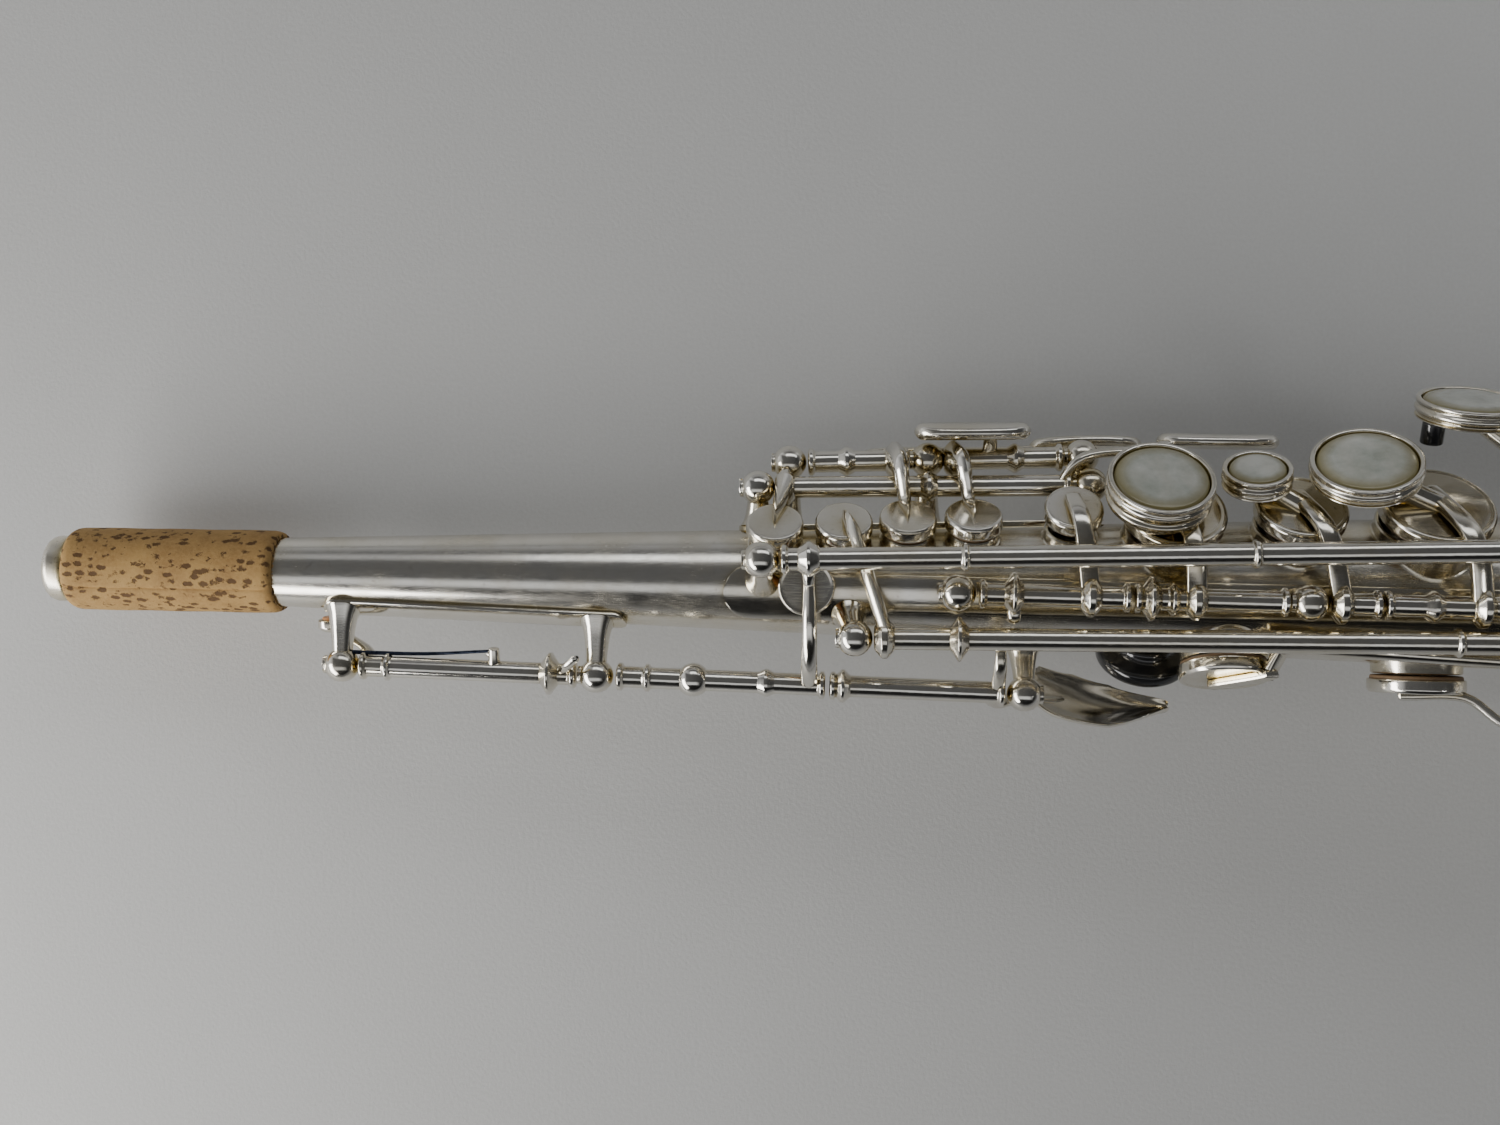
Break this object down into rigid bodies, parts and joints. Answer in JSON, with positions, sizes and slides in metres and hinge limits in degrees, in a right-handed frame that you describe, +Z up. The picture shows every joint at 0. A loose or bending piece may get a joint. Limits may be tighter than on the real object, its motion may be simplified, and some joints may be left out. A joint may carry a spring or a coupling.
{
  "type": "soprano saxophone",
  "caption": "Silver-plated straight soprano saxophone lying flat, with hinged keys, pearl touches, ball posts, octave levers, corked neck and a flared bell.",
  "frame": {"origin": "bottom centre of the box round the instrument as it lies on a flat surface", "axes": "+X along the body from the mouthpiece end to the bell, +Y to the palm-key side, +Z up from the surface it lies on"},
  "size_m": [0.6568, 0.0918, 0.0938],
  "materials": {
    "silver_plate": "polished silver plate with light warm tarnish between the keys",
    "cork": "light natural cork with dark pores",
    "pearl": "mother of pearl, polished",
    "leather_pad": "tan kid leather pad",
    "black_plastic": "polished black thumb rest"
  },
  "bodies": {
    "instrument_body": {"bell": "silver_plate", "bell_joint_ring": "silver_plate", "bell_key_foot": "silver_plate", "bell_key_guard": "silver_plate", "bell_key_rib": "silver_plate", "bell_rim": "silver_plate", "body_tube": "silver_plate", "foot_rib": "silver_plate", "lower_stack_rib": "silver_plate", "neck_cork": "cork", "neck_tube": "silver_plate", "octave_end_post": "silver_plate", "octave_rib": "silver_plate", "palm_rib": "silver_plate", "pinky_rib": "silver_plate", "side_key_rib": "silver_plate", "strap_ring": "silver_plate", "thumb_hook": "silver_plate", "thumb_rest": "black_plastic", "tip_ring": "silver_plate", "upper_rib": "silver_plate"},
    "upper_octave_key": {"upper_octave_key": "silver_plate"},
    "lower_octave_key": {"lower_octave_key": "silver_plate"},
    "thumb_octave_lever": {"thumb_octave_lever": "silver_plate"},
    "octave_link": {"octave_link": "silver_plate"},
    "palm_key_f": {"palm_key_f": "silver_plate"},
    "palm_key_eb": {"palm_key_eb": "silver_plate"},
    "palm_key_d": {"palm_key_d": "silver_plate"},
    "side_key_e": {"side_key_e": "silver_plate"},
    "side_key_c": {"side_key_c": "silver_plate"},
    "side_key_bb": {"side_key_bb": "silver_plate"},
    "stack_key_c": {"stack_key_c": "silver_plate"},
    "stack_key_b": {"stack_key_b": "silver_plate", "stack_key_b_pearl": "pearl"},
    "stack_key_bis": {"stack_key_bis": "silver_plate", "stack_key_bis_pearl": "pearl"},
    "stack_key_a": {"stack_key_a": "silver_plate", "stack_key_a_pearl": "pearl"},
    "stack_key_g": {"stack_key_g": "silver_plate", "stack_key_g_pearl": "pearl"},
    "stack_key_f_sharp": {"stack_key_f_sharp": "silver_plate"},
    "stack_key_f": {"stack_key_f": "silver_plate", "stack_key_f_pad": "leather_pad", "stack_key_f_pearl": "pearl"},
    "stack_key_e": {"stack_key_e": "silver_plate", "stack_key_e_pad": "leather_pad", "stack_key_e_pearl": "pearl"},
    "stack_key_d": {"stack_key_d": "silver_plate", "stack_key_d_pad": "leather_pad", "stack_key_d_pearl": "pearl"},
    "g_sharp_key": {"g_sharp_key": "silver_plate"},
    "low_key_eb": {"low_key_eb": "silver_plate"},
    "low_key_c": {"low_key_c": "silver_plate", "low_key_c_pad": "leather_pad"},
    "low_key_cs": {"low_key_cs": "silver_plate"},
    "low_key_b": {"low_key_b": "silver_plate", "low_key_b_pad": "leather_pad"},
    "low_key_bb": {"low_key_bb": "silver_plate", "low_key_bb_pad": "leather_pad"}
  },
  "joints": [
    {"name": "upper_octave_key_hinge", "type": "hinge", "parent": "instrument_body", "child": "upper_octave_key", "pos_m": [-0.2657, -0.01761, 0.02108], "axis": [-0.9976, 0.0204, -0.0657], "range_deg": [0, 7], "stiffness_Nm_per_rad": 0.08, "springref_deg": -11.46},
    {"name": "lower_octave_key_hinge", "type": "hinge", "parent": "instrument_body", "child": "lower_octave_key", "pos_m": [-0.2163, -0.01862, 0.02433], "axis": [0.9976, -0.0204, 0.0657], "range_deg": [0, 5], "stiffness_Nm_per_rad": 0.08, "springref_deg": -11.46},
    {"name": "thumb_octave_lever_hinge", "type": "hinge", "parent": "instrument_body", "child": "thumb_octave_lever", "pos_m": [-0.17618, -0.01945, 0.02697], "axis": [-0.9976, 0.0204, -0.0657], "range_deg": [0, 6], "stiffness_Nm_per_rad": 0.08, "springref_deg": -11.46},
    {"name": "octave_link_hinge", "type": "hinge", "parent": "instrument_body", "child": "octave_link", "pos_m": [-0.18596, 0.00403, 0.04153], "axis": [0.9957, 0.0276, 0.0885], "range_deg": [0, 4], "stiffness_Nm_per_rad": 0.25, "springref_deg": -11.46},
    {"name": "palm_key_f_hinge", "type": "hinge", "parent": "instrument_body", "child": "palm_key_f", "pos_m": [-0.18661, 0.01774, 0.02335], "axis": [-0.9975, -0.0203, -0.0683], "range_deg": [0, 11.21], "stiffness_Nm_per_rad": 0.08, "springref_deg": -11.46},
    {"name": "palm_key_eb_hinge", "type": "hinge", "parent": "instrument_body", "child": "palm_key_eb", "pos_m": [-0.18063, 0.02287, 0.02003], "axis": [-0.9982, -0.0323, -0.0503], "range_deg": [0, 7.43], "stiffness_Nm_per_rad": 0.08, "springref_deg": -11.46},
    {"name": "palm_key_d_hinge", "type": "hinge", "parent": "instrument_body", "child": "palm_key_d", "pos_m": [-0.15426, 0.02373, 0.02136], "axis": [-0.9982, -0.0323, -0.0503], "range_deg": [0, 7.45], "stiffness_Nm_per_rad": 0.08, "springref_deg": -11.46},
    {"name": "side_key_e_hinge", "type": "hinge", "parent": "instrument_body", "child": "side_key_e", "pos_m": [-0.16873, -0.00997, 0.03766], "axis": [0.9955, 0.013, 0.0937], "range_deg": [0, 5.14], "stiffness_Nm_per_rad": 0.25, "springref_deg": -11.46},
    {"name": "side_key_c_hinge", "type": "hinge", "parent": "instrument_body", "child": "side_key_c", "pos_m": [-0.09703, -0.00992, 0.03754], "axis": [-0.9961, 0.0491, -0.0731], "range_deg": [0, 12.1], "stiffness_Nm_per_rad": 0.25, "springref_deg": -11.46},
    {"name": "side_key_bb_hinge", "type": "hinge", "parent": "instrument_body", "child": "side_key_bb", "pos_m": [-0.04351, -0.01841, 0.03679], "axis": [-0.9973, 0.0403, -0.0606], "range_deg": [0, 15.39], "stiffness_Nm_per_rad": 0.08, "springref_deg": -11.46},
    {"name": "stack_key_c_hinge", "type": "hinge", "parent": "instrument_body", "child": "stack_key_c", "pos_m": [-0.15018, -0.00154, 0.03901], "axis": [-0.9963, 0.0104, -0.0857], "range_deg": [0, 12.37], "stiffness_Nm_per_rad": 0.08, "springref_deg": -11.46},
    {"name": "stack_key_b_hinge", "type": "hinge", "parent": "instrument_body", "child": "stack_key_b", "pos_m": [-0.12286, -0.00182, 0.04136], "axis": [-0.9963, 0.0104, -0.0857], "range_deg": [0, 8.15], "stiffness_Nm_per_rad": 0.08, "springref_deg": -11.46},
    {"name": "stack_key_bis_hinge", "type": "hinge", "parent": "instrument_body", "child": "stack_key_bis", "pos_m": [-0.08857, -0.00218, 0.0443], "axis": [-0.9963, 0.0104, -0.0857], "range_deg": [0, 7.52], "stiffness_Nm_per_rad": 0.08, "springref_deg": -11.46},
    {"name": "stack_key_a_hinge", "type": "hinge", "parent": "instrument_body", "child": "stack_key_a", "pos_m": [-0.0798, -0.00227, 0.04506], "axis": [-0.9963, 0.0104, -0.0857], "range_deg": [0, 7.16], "stiffness_Nm_per_rad": 0.08, "springref_deg": -11.46},
    {"name": "stack_key_g_hinge", "type": "hinge", "parent": "instrument_body", "child": "stack_key_g", "pos_m": [-0.05826, -0.00249, 0.04691], "axis": [-0.9963, 0.0104, -0.0857], "range_deg": [0, 6.8], "stiffness_Nm_per_rad": 0.08, "springref_deg": -11.46},
    {"name": "stack_key_f_sharp_hinge", "type": "hinge", "parent": "instrument_body", "child": "stack_key_f_sharp", "pos_m": [-0.0041, 0.00116, 0.05281], "axis": [-0.9963, -0.0018, -0.0861], "range_deg": [0, 7.23], "stiffness_Nm_per_rad": 0.08, "springref_deg": -11.46},
    {"name": "stack_key_f_hinge", "type": "hinge", "parent": "instrument_body", "child": "stack_key_f", "pos_m": [0.01903, 0.0012, 0.0548], "axis": [-0.9963, -0.0018, -0.0861], "range_deg": [0, 6.9], "stiffness_Nm_per_rad": 0.08, "springref_deg": -11.46},
    {"name": "stack_key_e_hinge", "type": "hinge", "parent": "instrument_body", "child": "stack_key_e", "pos_m": [0.05771, 0.00127, 0.05815], "axis": [-0.9963, -0.0018, -0.0861], "range_deg": [0, 6.61], "stiffness_Nm_per_rad": 0.08, "springref_deg": -11.46},
    {"name": "stack_key_d_hinge", "type": "hinge", "parent": "instrument_body", "child": "stack_key_d", "pos_m": [0.08442, 0.00131, 0.06045], "axis": [-0.9963, -0.0018, -0.0861], "range_deg": [0, 6.34], "stiffness_Nm_per_rad": 0.08, "springref_deg": -11.46},
    {"name": "g_sharp_key_hinge", "type": "hinge", "parent": "instrument_body", "child": "g_sharp_key", "pos_m": [-0.02465, 0.02011, 0.02459], "axis": [-0.9985, -0.0323, -0.0443], "range_deg": [0, 7.82], "stiffness_Nm_per_rad": 0.08, "springref_deg": -11.46},
    {"name": "low_key_eb_hinge", "type": "hinge", "parent": "instrument_body", "child": "low_key_eb", "pos_m": [0.12849, -0.00185, 0.06412], "axis": [-0.9964, 0.0023, -0.0848], "range_deg": [0, 7.74], "stiffness_Nm_per_rad": 0.08, "springref_deg": -11.46},
    {"name": "low_key_c_hinge", "type": "hinge", "parent": "instrument_body", "child": "low_key_c", "pos_m": [0.14504, -0.00189, 0.06553], "axis": [-0.9964, 0.0023, -0.0848], "range_deg": [0, 6.99], "stiffness_Nm_per_rad": 0.08, "springref_deg": -11.46},
    {"name": "low_key_cs_hinge", "type": "hinge", "parent": "instrument_body", "child": "low_key_cs", "pos_m": [0.02287, 0.01992, 0.01963], "axis": [0.999, 0.0262, 0.036], "range_deg": [0, 9.97], "stiffness_Nm_per_rad": 0.25, "springref_deg": -11.46},
    {"name": "low_key_b_hinge", "type": "hinge", "parent": "instrument_body", "child": "low_key_b", "pos_m": [0.02264, 0.0219, 0.0241], "axis": [-0.9986, -0.0352, -0.0395], "range_deg": [0, 7.2], "stiffness_Nm_per_rad": 0.25, "springref_deg": -11.46},
    {"name": "low_key_bb_hinge", "type": "hinge", "parent": "instrument_body", "child": "low_key_bb", "pos_m": [0.02239, 0.02292, 0.02885], "axis": [-0.9977, -0.0513, -0.0451], "range_deg": [0, 5.31], "stiffness_Nm_per_rad": 0.25, "springref_deg": -11.46}
  ],
  "couplings": [
    {"joint": "upper_octave_key_hinge", "follows": "thumb_octave_lever_hinge", "ratio": 1.1608},
    {"joint": "stack_key_c_hinge", "follows": "stack_key_b_hinge", "ratio": 1.5102},
    {"joint": "stack_key_f_sharp_hinge", "follows": "stack_key_f_hinge", "ratio": 1.0426},
    {"joint": "octave_link_hinge", "follows": "stack_key_g_hinge", "ratio": 0.5853}
  ]
}
